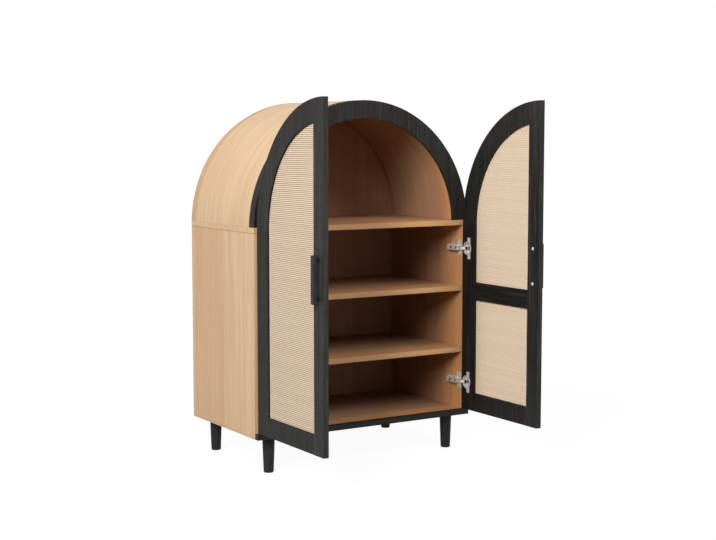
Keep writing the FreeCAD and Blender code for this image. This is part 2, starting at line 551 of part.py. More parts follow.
# Concealed hinges: cup, arm, link and pin, one set at each of two heights.
PIVOT_X = f"({HALF} - pivot_inset)"
PIVOT_Y = f"({FRONT} - pivot_forward)"
pins = []
for level, height in HINGES.items():
    shell = rod(f"{level}_cup_shell", "x", "cup_radius", "cup_depth", DOOR_INNER_X, CUP_Y, height)
    disc = rod(f"{level}_flange_disc", "x", "flange_radius", "flange_thickness",
               f"{DOOR_INNER_X} - flange_thickness", CUP_Y, height)
    bar = block(f"{level}_flange_bar", f"{DOOR_INNER_X} - flange_thickness",
                f"{FLANGE_Y} - flange_width / 2", f"{height} - flange_length / 2", "flange_thickness",
                "flange_width", "flange_length")
    hollow = rod(f"{level}_cup_hollow", "x", "cup_radius - cup_wall",
                 "cup_depth - cup_wall + flange_thickness", f"{DOOR_INNER_X} - flange_thickness", CUP_Y,
                 height)
    holes = [rod(f"{level}_flange_hole_{index}", "x", "screw_radius + hole_clearance", "2 * flange_thickness",
                 f"{DOOR_INNER_X} - 3 * flange_thickness / 2", FLANGE_Y,
                 f"{height} {sign} cup_screw_spacing / 2")
             for index, sign in enumerate("+-")]
    cup = minus(f"{level}_cup", joined(f"{level}_cup_body", [shell, disc, bar]), [hollow] + holes)
    cheek_round = rod(f"{level}_cheek_round", "x", "cup_radius - cup_wall / 2",
                      "cup_depth - cup_wall / 2 - cheek_depth", f"{DOOR_INNER_X} + cheek_depth", CUP_Y,
                      height)
    cheek_middle = "(link_height / 2 + cheek_play + cheek_metal / 2)"
    cheek_slabs = [block(f"{level}_cheek_{index}", DOOR_INNER_X, f"{CUP_Y} - cup_radius",
                         f"{height} {sign} {cheek_middle} - cheek_metal / 2", "cup_depth", "2 * cup_radius",
                         "cheek_metal") for index, sign in enumerate("+-")]
    cheeks = common(f"{level}_cup_cheeks", [cheek_round, separate(f"{level}_cheek_slabs", cheek_slabs)])
    keep_pair(f"{level}_hinge_cup", joined(f"{level}_hinge_cup", [cup, cheeks]))

    nose_tall = "(arm_gap + 2 * arm_metal)"
    nose_z = f"{height} - arm_gap / 2 - arm_metal"
    body = block(f"{level}_plate_body", f"{INNER_X} - plate_thickness", f"{FRONT} + wing_front",
                 f"{height} - plate_half_height", "plate_thickness", "plate_back - wing_front",
                 "2 * plate_half_height")
    wing = block(f"{level}_plate_wing", f"{INNER_X} - plate_thickness", f"{FRONT} + wing_front",
                 f"{height} - wing_half_height", "plate_thickness", "wing_back - wing_front",
                 "2 * wing_half_height")
    holes = [rod(f"{level}_plate_hole_{index}", "x", "screw_radius + hole_clearance", "2 * plate_thickness",
                 f"{INNER_X} - 3 * plate_thickness / 2", f"{FRONT} + plate_screw_back",
                 f"{height} {sign} plate_screw_spacing / 2") for index, sign in enumerate("+-")]
    nose_slot = block(f"{level}_plate_slot", f"{INNER_X} - 3 * plate_thickness / 2", FRONT,
                      f"{nose_z} - hole_clearance", "2 * plate_thickness", "arm_front + hole_clearance",
                      f"{nose_tall} + 2 * hole_clearance")
    plate = joined(f"{level}_plate", [body, wing])
    keep_pair(f"{level}_hinge_plate", minus(f"{level}_hinge_plate", plate, holes + [nose_slot]))

    channel = block(f"{level}_arm_channel", f"{HALF} - arm_top", f"{FRONT} + arm_front",
                    f"{height} - arm_width / 2", "arm_top - board - plate_thickness",
                    "arm_back - arm_front", "arm_width")
    nose = block(f"{level}_arm_nose", f"{HALF} - nose_high", PIVOT_Y, nose_z,
                 "nose_high - nose_low", "pivot_forward + arm_front", nose_tall)
    eye = rod(f"{level}_arm_eye", "z", "nose_radius", nose_tall, PIVOT_X, PIVOT_Y, nose_z)
    between = block(f"{level}_arm_between", f"{HALF} - arm_top + arm_metal",
                    f"{FRONT} + arm_front + arm_metal", f"{height} - arm_width / 2 + arm_metal",
                    "arm_top", "arm_back", "arm_width - 2 * arm_metal")
    front_gap = block(f"{level}_arm_front_gap", f"{HALF} - arm_top", f"{FRONT} - arm_back",
                      f"{height} - arm_gap / 2", "arm_top", "arm_back + arm_front", "arm_gap")
    bore = rod(f"{level}_arm_bore", "z", "hinge_pin_radius", f"{nose_tall} + overrun", PIVOT_X, PIVOT_Y,
               f"{nose_z} - overrun / 2")
    arm = joined(f"{level}_arm", [channel, nose, eye])
    keep_pair(f"{level}_hinge_arm", minus(f"{level}_hinge_arm", arm, [between, front_gap, bore]))
    pins.append(rod(f"{level}_hinge_pin", "z", "hinge_pin_radius", nose_tall, PIVOT_X, PIVOT_Y, nose_z))
keep_both("hinge_pins", pins)


# Hinge links: cranked steel straps from the pivot on the arm into the hollow of the cup.
LINK_POINTS = [(PIVOT_X, PIVOT_Y),
               (f"({PIVOT_X} - link_knee_inward)", f"({PIVOT_Y} - link_knee_forward)"),
               (f"({DOOR_INNER_X} + link_tip_depth)", f"({CUP_Y} + link_tip_offset)")]


def strap_run(name, start, end, low):
    """One straight run of the strap, a thin block turned to point from start to end."""
    (x1, y1), (x2, y2) = start, end
    angle = f"atan2({y2} - {y1}; {x2} - {x1})"
    run = doc.addObject("Part::Box", name)
    run.Placement.Rotation = FreeCAD.Rotation(FreeCAD.Vector(0, 0, 1), 1)
    bind(run, Length=f"hypot({x2} - {x1}; {y2} - {y1})", Width="2 * link_half", Height="link_height")
    run.setExpression("Placement.Rotation.Angle", formula(angle))
    return at(run, f"{x1} + link_half * sin({angle})", f"{y1} - link_half * cos({angle})", low)


for level, height in HINGES.items():
    low = f"({height} - link_height / 2)"
    name = level + "_link"
    runs = [strap_run(f"{name}_run_{index}", pair[0], pair[1], low)
            for index, pair in enumerate(zip(LINK_POINTS, LINK_POINTS[1:]))]
    corners = [rod(f"{name}_corner_{index}", "z", "link_half", "link_height", x, y, low)
               for index, (x, y) in enumerate(LINK_POINTS)]
    eye = rod(name + "_eye", "z", "link_eye_radius", "link_height", *LINK_POINTS[0], low)
    bore = rod(name + "_bore", "z", "hinge_pin_radius + pin_running_fit", "link_height + overrun",
               *LINK_POINTS[0], f"{low} - overrun / 2")
    strap = joined(name + "_body", runs + corners + [eye])
    keep_pair(level + "_hinge_link", minus(level + "_hinge_link", strap, [bore]))

doc.recompute()

failed = [feature.Label for feature in doc.Objects if "Invalid" in feature.State or "Error" in feature.State]
for name, feature in PIECES.items():
    if feature.Shape.isNull() or not feature.Shape.isValid() or not feature.Shape.Solids:
        failed.append(name)
if failed:
    sys.exit("failed: " + ", ".join(failed))

os.makedirs("parts", exist_ok=True)
for name, feature in PIECES.items():
    feature.Shape.exportStep(f"parts/{name}.step")
print(len(PIECES), "pieces,", sum(len(feature.Shape.Solids) for feature in PIECES.values()), "solids")
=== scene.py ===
"""The looks of an arched oak cabinet with black frame doors of woven cane.

Lengths are metres in the cabinet's own frame: +X to the right, +Y to the back, +Z up, the floor at
zero. Colours are written as they look, in numbers from 0 to 255.
"""

import json
import math
import random

import bmesh
import bpy
from mathutils import Matrix, Vector

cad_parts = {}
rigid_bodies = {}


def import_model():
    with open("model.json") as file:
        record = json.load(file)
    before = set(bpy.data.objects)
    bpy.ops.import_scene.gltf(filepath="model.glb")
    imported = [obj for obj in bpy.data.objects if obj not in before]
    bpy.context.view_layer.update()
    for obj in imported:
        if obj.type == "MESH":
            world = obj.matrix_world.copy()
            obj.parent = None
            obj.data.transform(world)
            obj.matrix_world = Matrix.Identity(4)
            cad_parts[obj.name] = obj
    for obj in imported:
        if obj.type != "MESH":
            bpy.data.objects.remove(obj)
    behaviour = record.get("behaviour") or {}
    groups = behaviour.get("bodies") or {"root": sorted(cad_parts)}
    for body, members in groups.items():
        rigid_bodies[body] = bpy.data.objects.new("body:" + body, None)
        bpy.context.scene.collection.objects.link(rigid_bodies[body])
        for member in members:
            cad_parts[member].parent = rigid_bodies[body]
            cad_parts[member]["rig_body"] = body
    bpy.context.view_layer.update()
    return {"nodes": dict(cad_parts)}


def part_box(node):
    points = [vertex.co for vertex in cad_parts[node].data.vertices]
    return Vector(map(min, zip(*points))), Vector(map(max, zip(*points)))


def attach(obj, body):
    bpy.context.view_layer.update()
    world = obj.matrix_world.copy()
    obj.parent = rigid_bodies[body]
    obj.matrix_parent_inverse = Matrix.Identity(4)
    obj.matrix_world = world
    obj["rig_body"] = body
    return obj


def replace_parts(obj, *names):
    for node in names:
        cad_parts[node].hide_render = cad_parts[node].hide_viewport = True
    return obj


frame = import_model()

# The view. The cabinet is seen from its front left, from a little below its top, with a long lens, so
# that its upright edges stay nearly parallel.
VIEW_FROM = (-2.0589, -3.2875, 0.9126)
VIEW_TURN = 31.888
VIEW_DIP = 5.477
LENS_MM = 69.8
FILM_MM = 36

lens = bpy.data.cameras.new("camera")
lens.lens = LENS_MM
lens.sensor_width = FILM_MM
camera = bpy.data.objects.new("camera", lens)
camera.location = VIEW_FROM
camera.rotation_euler = (math.radians(90 - VIEW_DIP), 0, -math.radians(VIEW_TURN))
bpy.context.scene.collection.objects.link(camera)
bpy.context.scene.camera = camera
bpy.context.scene.view_settings.view_transform = "Standard"


# The studio. A pale floor runs out of sight. One large soft lamp stands in front on the left, a weaker
# one high in front, one low behind on the right, and a little cool light comes from all round. The
# floor and the far side look white, and near the cabinet the floor keeps its shadow.
class Flow:
    """A number or colour on its way through a finish. Python's signs add the Math nodes."""

    def __init__(self, finish, socket):
        self.finish = finish
        self.socket = socket

    def maths(self, operation, *terms):
        return self.finish.add("ShaderNodeMath", {"operation": operation}, dict(enumerate(terms)))

    def __add__(self, other):
        return self.maths("ADD", self, other)

    def __sub__(self, other):
        return self.maths("SUBTRACT", self, other)

    def __rsub__(self, other):
        return self.maths("SUBTRACT", other, self)

    def __mul__(self, other):
        return self.maths("MULTIPLY", self, other)

    def __truediv__(self, other):
        return self.maths("DIVIDE", self, other)

    def __abs__(self):
        return self.maths("ABSOLUTE", self)

    def __floor__(self):
        return self.maths("FLOOR", self)

    __radd__ = __add__
    __rmul__ = __mul__


class Finish:
    """The nodes of a material, or of the world, as they are added one by one."""

    def __init__(self, name, block=None):
        self.block = block or bpy.data.materials.new(name)
        self.block.use_nodes = True
        self.tree = self.block.node_tree
        self.tree.nodes.clear()

    def add(self, kind, settings=None, sockets=None, output=0):
        """A node of this type, with its settings made first, then the values or links of its sockets."""
        node = self.tree.nodes.new(kind)
        for name, value in (settings or {}).items():
            setattr(node, name, value)
        for key, value in (sockets or {}).items():
            if isinstance(value, Flow):
                self.tree.links.new(value.socket, node.inputs[key])
            else:
                node.inputs[key].default_value = value
        return Flow(self, node.outputs[output]) if node.outputs else None

    def place(self):
        """The place on the piece in metres, as its X, Y and Z."""
        here = self.add("ShaderNodeTexCoord", output="Object")
        parts = self.add("ShaderNodeSeparateXYZ", sockets={0: here}).socket.node
        return [Flow(self, parts.outputs[axis]) for axis in "XYZ"]

    def noise(self, x, y, z, detail=2, roughness=0.5):
        """Noise whose grains measure about one unit of the given x, y and z."""
        point = self.add("ShaderNodeCombineXYZ", sockets={0: x, 1: y, 2: z})
        sockets = {"Vector": point, "Scale": 1, "Detail": detail, "Roughness": roughness}
        return self.add("ShaderNodeTexNoise", {"noise_dimensions": "3D"}, sockets)

    def dice(self, number):
        """A number from 0 to 1 that is thrown anew for each whole number."""
        return self.add("ShaderNodeTexWhiteNoise", {"noise_dimensions": "1D"}, {"W": number})

    def band(self, value, low, high, to_low=0, to_high=1):
        """A value that runs smoothly from to_low to to_high between two edges."""
        sockets = {"Value": value, 1: low, 2: high, 3: to_low, 4: to_high}
        return self.add("ShaderNodeMapRange", {"interpolation_type": "SMOOTHSTEP"}, sockets)

    def mix(self, share, first, second, blend="MIX"):
        """The first colour with a share of the second in it, or blended with it in another way."""
        settings = {"data_type": "RGBA", "blend_type": blend}
        return self.add("ShaderNodeMix", settings, {0: share, 6: first, 7: second}, output=2)

    def bump(self, height, depth, strength=1):
        """The normal of a face whose height runs from 0 to 1 over a depth in metres."""
        sockets = {"Strength": strength, "Distance": depth, "Height": height}
        return self.add("ShaderNodeBump", sockets=sockets)

    def close(self, surface):
        """End the nodes in this surface, and give back the material or the world."""
        self.add("ShaderNodeOutput" + type(self.block).__name__, sockets={"Surface": surface})
        return self.block

    def principled(self, **sockets):
        """End the nodes in a principled surface; a socket's name has _ for each space."""
        named = {name.replace("_", " "): value for name, value in sockets.items()}
        return self.close(self.add("ShaderNodeBsdfPrincipled", sockets=named))


def colour(red, green, blue):
    """A colour as it looks, from 0 to 255, as the light it sends back."""
    def linear(shade):
        shade = shade / 255
        return shade / 12.92 if shade <= 0.04045 else ((shade + 0.055) / 1.055) ** 2.4
    return (linear(red), linear(green), linear(blue), 1)


FLOOR_REACH = 20
WHITE = colour(255, 255, 255)
FLOOR_BOUNCE = colour(72, 68, 64)
FLOOR_GLOW = 1.02
FLOOR_SHADOW_SHARE = 0.07
SHADOW_NEAR, SHADOW_FAR = 0.9, 2.2
EVEN_LIGHT = colour(50, 54, 60)
# Where each lamp stands, the point it looks at, its breadth in metres and its power in watts.
LAMPS = {
    "side_lamp": ((-4.56, -2.96, 3.09), (0.0, 0.0, 0.55), 2.2, 402),
    "front_lamp": ((0.7, -4.0, 3.9), (0.0, 0.0, 0.5), 2.2, 132),
    "rear_lamp": ((3.9, 3.9, 1.3), (0.0, 0.2, 0.5), 2.4, 175),
}


def seen_plainly(finish):
    """One for what the eye sees, in mirrors and through glass too, and zero for light that bounces."""
    rays = [finish.add("ShaderNodeLightPath", output=f"Is {ray} Ray")
            for ray in ("Camera", "Glossy", "Transmission")]
    return finish.add("ShaderNodeClamp", sockets={"Value": rays[0] + rays[1] + rays[2]})


ground = bmesh.new()
bmesh.ops.create_grid(ground, x_segments=1, y_segments=1, size=FLOOR_REACH)
floor_mesh = bpy.data.meshes.new("floor")
ground.to_mesh(floor_mesh)
ground.free()
floor = bpy.data.objects.new("floor", floor_mesh)
bpy.context.scene.collection.objects.link(floor)
floor_finish = Finish("floor_white")
floor_x, floor_y = floor_finish.place()[:2]
from_middle = floor_x * floor_x + floor_y * floor_y
shadow_share = floor_finish.band(from_middle, SHADOW_NEAR ** 2, SHADOW_FAR ** 2, FLOOR_SHADOW_SHARE, 0)
plain_sight = seen_plainly(floor_finish)
ground_tone = floor_finish.mix(plain_sight, FLOOR_BOUNCE, WHITE)
lit_ground = floor_finish.add("ShaderNodeBsdfDiffuse", sockets={"Color": ground_tone})
white_ground = floor_finish.add("ShaderNodeEmission", sockets={"Color": WHITE, "Strength": FLOOR_GLOW})
shown = {0: plain_sight * (1 - shadow_share), 1: lit_ground, 2: white_ground}
floor_mesh.materials.append(floor_finish.close(floor_finish.add("ShaderNodeMixShader", sockets=shown)))

world = bpy.data.worlds.new("studio")
bpy.context.scene.world = world
sky = Finish("studio", world)
sky_tone = sky.mix(seen_plainly(sky), EVEN_LIGHT, WHITE)
sky.close(sky.add("ShaderNodeBackground", sockets={"Color": sky_tone}))

for lamp_name, (stand, aim, breadth, power) in LAMPS.items():
    lamp_data = bpy.data.lights.new(lamp_name, "AREA")
    lamp_data.size = breadth
    lamp_data.energy = power
    lamp = bpy.data.objects.new(lamp_name, lamp_data)
    lamp.location = stand
    lamp.rotation_euler = (Vector(aim) - Vector(stand)).to_track_quat("-Z", "Y").to_euler()
    bpy.context.scene.collection.objects.link(lamp)


# The side panels. Boards faced with oak veneer, its grain upright, laid in leaves two hands wide, with
# a thin edge strip along the bottom and the rear. Every board has its sharp edges eased with sandpaper.
SIDES = ("right", "left")
OAK_LIGHT = colour(229, 196, 157)
OAK_DARK = colour(214, 179, 139)
OAK_WARM = colour(206, 158, 116)
OAK_GOLD = colour(208, 174, 128)
OAK_PORE = colour(168, 128, 92)
# Painted shade for the inner faces: a warm colour near the front and a dull one further in, multiplied
# onto the oak between these two depths behind the front edge.
OAK_PAINTED_SHADE = colour(250, 217, 184), colour(198, 180, 176)
PAINTED_SHADE_START, PAINTED_SHADE_DEPTH = 0.02, 0.145
# How fine each kind of mark is: so many in a metre across the board, and so many along it.
OAK_STREAKS, OAK_BANDS, OAK_FIBRES = (48, 2.6), (130, 7), (420, 9)
OAK_PORES, OAK_CLOUDS = (700, 34), (5, 3.1)
# The share of its own tone that each kind of mark gives the wood.
CLOUD_SHARE, BAND_SHARE, FIBRE_SHARE, PORE_SHARE, STRIP_SHARE = 0.2, 0.28, 0.35, 0.36, 0.6
OAK_RELIEF = 0.00012
LEAF_WIDTH = 0.19
REAR_LEAF = 0.203
LEAF_SHARE = 0.42
EDGE_STRIP = 0.0035
STRIP_LINE = 0.0014
EASE = 0.0006
SMOOTH_ANGLE = math.radians(35)
SHARP_ANGLE = math.radians(50)
FLAT_ANGLE = math.radians(0.5)
SAME_POINT = 1e-6
FRONT_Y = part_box("upper_shelf")[0].y


def own_mesh(node):
    """A merged copy of a node's own shape."""
    mesh = bmesh.new()
    mesh.from_mesh(frame["nodes"][node].data)
    bmesh.ops.remove_doubles(mesh, verts=mesh.verts, dist=SAME_POINT)
    return mesh


def piece_beside(node, name, mesh, material):
    """A piece made of a bmesh, which moves with the body of the named node."""
    shape = bpy.data.meshes.new(name)
    mesh.to_mesh(shape)
    mesh.free()
    shape.materials.append(material)
    piece = bpy.data.objects.new(name, shape)
    bpy.context.scene.collection.objects.link(piece)
    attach(piece, frame["nodes"][node]["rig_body"])
    return piece


def piece_for(node, name, mesh, material, eased_faces=()):
    """A piece made of a bmesh, which stands for the named node.

    Round faces are shaded as one, and wide faces stay plain up to the faces that ease their edges.
    """
    narrow = set(eased_faces)
    for face in mesh.faces:
        face.smooth = True
    for edge in mesh.edges:
        one_kind = len({face in narrow for face in edge.link_faces}) == 1
        edge.smooth = one_kind and edge.calc_face_angle(0) < SMOOTH_ANGLE
    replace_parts(piece_beside(node, name, mesh, material), node)


def eased(node, material, ease=EASE):
    """The node's own shape with its sharp edges eased, standing in its place."""
    mesh = own_mesh(node)
    bmesh.ops.dissolve_limit(mesh, angle_limit=FLAT_ANGLE, verts=mesh.verts, edges=mesh.edges)
    narrow = []
    if ease:
        sharp = [edge for edge in mesh.edges
                 if len(edge.link_faces) == 2 and edge.calc_face_angle() > SHARP_ANGLE]
        narrow = bmesh.ops.bevel(mesh, geom=sharp, offset=ease, offset_type="OFFSET", affect="EDGES",
                                 segments=2, profile=0.5, material=-1, clamp_overlap=True)["faces"]
    piece_for(node, node + "_finished", mesh, material, narrow)


def either(first, second):
    """The larger of two shares."""
    return first.maths("MAXIMUM", first, second)


def grain_noise(finish, board, fineness, **detail):
    """Noise with so many grains in a metre across the board and so many along it."""
    thick, across, along = board
    many, few = fineness
    return finish.noise(thick * many, across * many, along * few, **detail)


def upright_grain(finish):
    """For an upright board: through it in X, across the grain in Y, along it in Z."""
    return finish.place()


def level_grain(finish):
    """For a level board: through it in Z, across the grain in Y, along it in X."""
    x, y, z = finish.place()
    return z, y, x


def oak(name, grain, shift=0.0, strip=None, inside=None, leaf_share=LEAF_SHARE,
        painted_shade=OAK_PAINTED_SHADE):
    """Matt lacquered oak veneer: streaks of four tones, fine fibres, short pores and leaves in turn.

    `strip` and `inside` take the finish and give the place of edge strips and of the faces inside.
    These get painted shade: the last argument's two colours, multiplied in, warm near the front and
    dull further in, stand for the dim light behind the doors.
    """
    finish = Finish(name)
    thick, across, along = grain(finish)
    across = across + shift
    board = (thick, across, along)
    streaks = grain_noise(finish, board, OAK_STREAKS, detail=3, roughness=0.6)
    bands = grain_noise(finish, board, OAK_BANDS)
    fibres = grain_noise(finish, board, OAK_FIBRES, detail=3, roughness=0.7)
    dashes = grain_noise(finish, board, OAK_PORES, detail=1)
    clouds = grain_noise(finish, board, OAK_CLOUDS)
    pair = across / (2 * LEAF_WIDTH)
    leaf = finish.band(pair - math.floor(pair), 0.499, 0.501)
    tone = finish.mix(finish.band(streaks, 0.24, 0.74), OAK_DARK, OAK_LIGHT)
    warm = finish.band(clouds, 0.42, 0.66) * CLOUD_SHARE + leaf * leaf_share
    tone = finish.mix(warm, tone, OAK_WARM)
    tone = finish.mix(finish.band(bands, 0.48, 0.7) * BAND_SHARE, tone, OAK_GOLD)
    tone = finish.mix(finish.band(fibres, 0.5, 0.85) * FIBRE_SHARE, tone, OAK_GOLD)
    pores = finish.band(dashes, 0.64, 0.78)
    tone = finish.mix(pores * PORE_SHARE, tone, OAK_PORE)
    if strip:
        tone = finish.mix(strip(finish) * STRIP_SHARE, tone, OAK_PORE)
    # Painted shade: the inner faces are multiplied by a colour that dulls with depth from the front.
    if inside:
        depth = finish.band(finish.place()[1], FRONT_Y + PAINTED_SHADE_START, FRONT_Y + PAINTED_SHADE_DEPTH)
        tone = finish.mix(inside(finish), tone, finish.mix(depth, *painted_shade), "MULTIPLY")
    normal = finish.bump(fibres * 0.6 - pores, OAK_RELIEF, 0.5)
    return finish.principled(Base_Color=tone, Roughness=0.5 + fibres * 0.12, Normal=normal)


for side in SIDES:
    low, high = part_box(side + "_side_panel")
    middle_x = abs(low.x + high.x) / 2

    def side_strip(finish):
        """A fine dark line one edge strip in from the bottom and the rear, and one along the top."""
        y, z = finish.place()[1:]
        from_bottom = finish.band(abs(z - (low.z + EDGE_STRIP)), STRIP_LINE, 0)
        from_rear = finish.band(abs(y - (high.y - EDGE_STRIP)), STRIP_LINE, 0)
        from_top = finish.band(z, high.z - STRIP_LINE * 2, high.z - STRIP_LINE)
        return either(either(from_bottom, from_rear), from_top)

    def inner_face(finish):
        """The half of the board that looks into the cabinet."""
        return finish.band(abs(finish.place()[0]), middle_x + EASE, middle_x - EASE)

    leaf_shift = LEAF_WIDTH + REAR_LEAF - high.y
    side_oak = oak(side + "_side_oak", upright_grain, leaf_shift, side_strip, inner_face)
    eased(side + "_side_panel", side_oak)


# The level boards. The bottom, the two loose shelves and the shoulder board, which lies on the sides,
# are the same veneered board with the grain from side to side.
# Painted shade for the level boards, deeper than on the sides; their front edges get only EDGE_SHARE of
# it.
SHELF_PAINTED_SHADE = colour(238, 209, 180), colour(182, 169, 170)
EDGE_SHARE = 0.75
SHELF_SHIFT = 0.4
SHOULDER_SHIFT = 1.2
shoulder_low, shoulder_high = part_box("shoulder_board")
SIDE_HALF_WIDTH = shoulder_high.x


def between_sides(finish):
    """All of a board but the ends that show on the outside."""
    return finish.band(abs(finish.place()[0]), SIDE_HALF_WIDTH - EASE, SIDE_HALF_WIDTH - 2 * EASE)


def front_set_back(finish):
    """Where painted shade falls: all of a board between the sides, its front edge less, its rear edge not
    at all.
    """
    y = finish.place()[1]
    behind = finish.band(y, shoulder_high.y - 2 * EASE, shoulder_high.y - EASE, 1, 0)
    edge = finish.band(y, FRONT_Y + EASE, FRONT_Y + 2 * EASE, EDGE_SHARE, 1)
    return between_sides(finish) * behind * edge


def board_lines(finish):
    """The fine lines above and below a board's end, where it meets its neighbours."""
    x, y, z = finish.place()
    middle_z = (shoulder_low.z + shoulder_high.z) / 2
    half = (shoulder_high.z - shoulder_low.z) / 2
    at_end = finish.band(abs(x), SIDE_HALF_WIDTH - 2 * EASE, SIDE_HALF_WIDTH - EASE)
    return finish.band(abs(z - middle_z), half - STRIP_LINE, half) * at_end


for number, node in enumerate(("bottom_panel", "lower_shelf", "upper_shelf")):
    shelf_oak = oak(node + "_oak", level_grain, SHELF_SHIFT * number, inside=front_set_back,
                    painted_shade=SHELF_PAINTED_SHADE)
    eased(node, shelf_oak)
shoulder_oak = oak("shoulder_oak", level_grain, SHOULDER_SHIFT, board_lines, front_set_back, leaf_share=0)
eased("shoulder_board", shoulder_oak)


# The backs. Thin boards veneered on both faces with upright grain, let into rebates behind the carcass
# and the arch, and screwed on from the rear.
BACK_SHIFT = 0.17


def back_grain(finish):
    """For a back board: through it in Y, across the grain in X, along it in Z."""
    x, y, z = finish.place()
    return y, x, z


for number, node in enumerate(("lower_back_panel", "arch_back_panel")):
    back_low, back_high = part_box(node)
    middle_y = (back_low.y + back_high.y) / 2

    def front_half(finish):
        """The half of the back that looks into the cabinet."""
        return finish.band(finish.place()[1], middle_y + EASE, middle_y - EASE)

    back_oak = oak(node + "_oak", back_grain, BACK_SHIFT * number, inside=front_half)
    eased(node, back_oak)


# The arched top. A bent shell and a hoop behind it, both faced with veneer whose grain runs round the
# bend; a fine dark line shows where the two meet.
SHELL_THICK = 0.015
SHELL_SHIFT = 0.08
HOOP_SHIFT = 0.31
HOOP_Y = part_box("arch_back_hoop")[0].y
HOOP_LINE = 0.003
HOOP_SHADE = 0.3
ring_low, ring_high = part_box("arch_front_ring")
ARCH_RADIUS = (ring_high.x - ring_low.x) / 2
ARCH_CENTRE_Z = ring_high.z - ARCH_RADIUS
SHELL_MIDDLE = ARCH_RADIUS - SHELL_THICK / 2


def bent_grain(finish):
    """Through the board along the radius, across the grain in Y, along it round the bend."""
    x, y, z = finish.place()
    rise = z - ARCH_CENTRE_Z
    turn = rise.maths("ARCTAN2", rise, x)
    reach = rise.maths("SQRT", x * x + rise * rise)
    return reach, y, turn * ARCH_RADIUS


def under_the_bend(finish):
    """The inner half of the bent board."""
    return finish.band(bent_grain(finish)[0], SHELL_MIDDLE + EASE, SHELL_MIDDLE - EASE)


def hoop_joint(finish):
    """The dark line where the hoop meets the shell, and the deeper tone of the hoop behind it."""
    return finish.band(finish.place()[1], HOOP_Y + HOOP_LINE / 2, HOOP_Y + HOOP_LINE, 1, HOOP_SHADE)


shell_oak = oak("shell_oak", bent_grain, SHELL_SHIFT, inside=under_the_bend, leaf_share=0)
eased("arch_shell", shell_oak)
hoop_oak = oak("hoop_oak", bent_grain, HOOP_SHIFT, hoop_joint, under_the_bend)
eased("arch_back_hoop", hoop_oak)


# The black wood. Ash boards stained black with the grain left open: the arch ring, and the rail under
# the doors.
BLACK = colour(42, 41, 39)
BLACK_DEEP = colour(20, 20, 19)
BLACK_WORN = colour(84, 82, 79)
RING_SHADE = colour(212, 208, 200)
LEG_SHADE = colour(196, 200, 214)
# Painted shade: the hinge stiles, bottom rails and braces are darkened for the weaker light low on the
# doors.
LOW_PAINTED_SHADE = colour(190, 187, 183)
BLACK_STREAKS, BLACK_LINES, BLACK_FIBRES, BLACK_PORES = (40, 1.4), (190, 5), (520, 11), (620, 26)
LINE_SHARE, RIDGE_SHARE, HOLLOW_SHARE = 0.5, 0.6, 0.8
BLACK_RELIEF = 0.00022
BLACK_SHINE = 0.22


def black_wood(name, grain, shift=0.0, shade=WHITE):
    """Black stain over open grain, matt, with pores darker than the ridges between them."""
    finish = Finish(name)
    thick, across, along = grain(finish)
    board = (thick, across + shift, along)
    streaks = grain_noise(finish, board, BLACK_STREAKS, detail=4, roughness=0.65)
    lines = grain_noise(finish, board, BLACK_LINES)
    fibres = grain_noise(finish, board, BLACK_FIBRES, detail=3, roughness=0.65)
    pores = grain_noise(finish, board, BLACK_PORES, detail=1)
    tone = finish.mix(finish.band(streaks, 0.16, 0.84), BLACK_DEEP, BLACK)
    tone = finish.mix(finish.band(lines, 0.46, 0.8) * LINE_SHARE, tone, BLACK_WORN)
    tone = finish.mix(finish.band(fibres, 0.52, 0.8) * RIDGE_SHARE, tone, BLACK_WORN)
    hollow = finish.band(pores, 0.56, 0.7)
    # The shade colour multiplies the tone: for the ring, rails and legs a darker tone of their own, for
    # the hinge stiles, bottom rails and braces painted shade.
    tone = finish.mix(1, finish.mix(hollow * HOLLOW_SHARE, tone, BLACK_DEEP), shade, "MULTIPLY")
    normal = finish.bump(fibres * 0.7 - hollow, BLACK_RELIEF, 0.8)
    return finish.principled(Base_Color=tone, Roughness=0.5 + fibres * 0.2, Normal=normal,
                             Specular_IOR_Level=BLACK_SHINE)


eased("arch_front_ring", black_wood("ring_black", upright_grain, shade=RING_SHADE))
eased("front_rail", black_wood("rail_black", level_grain, shade=RING_SHADE))


# The legs. Turned, tapered and stained black, each on a plastic glide and held by a hanger bolt that
# turns into a nut in the bottom board.
STEEL_TONE = colour(196, 194, 190)
STEEL_DULL = colour(150, 148, 144)
GLIDE_BLACK = colour(34, 34, 35), colour(46, 46, 47)


def metal(name, bright, dull, rough, brushed=0.3, mirror=1.0):
    """Plated metal with faint brush marks and a cloudy sheen; satin plate mirrors less than polish."""
    finish = Finish(name)
    x, y, z = finish.place()
    clouds = finish.noise(x * 60, y * 60, z * 60, detail=3)
    marks = finish.noise(x * 900, y * 900, z * 90)
    tone = finish.mix(finish.band(clouds, 0.35, 0.7), bright, dull)
    roughness = rough + marks * brushed * 0.3
    normal = finish.bump(marks, 0.00004, brushed)
    return finish.principled(Base_Color=tone, Metallic=mirror, Roughness=roughness, Normal=normal)


def plastic(name, tone, fleck):
    """Moulded plastic with a fine leathery face."""
    finish = Finish(name)
    x, y, z = finish.place()
    dimples = finish.noise(x * 1400, y * 1400, z * 1400)
    clouds = finish.noise(x * 90, y * 90, z * 90)
    shade = finish.mix(finish.band(clouds, 0.4, 0.7) * 0.5, tone, fleck)
    normal = finish.bump(dimples, 0.00006, 0.4)
    return finish.principled(Base_Color=shade, Roughness=0.45 + dimples * 0.15, Normal=normal)


def refinish(node, material):
    """Give a node that keeps its own shape its finish."""
    for slot in frame["nodes"][node].material_slots:
        slot.material = material


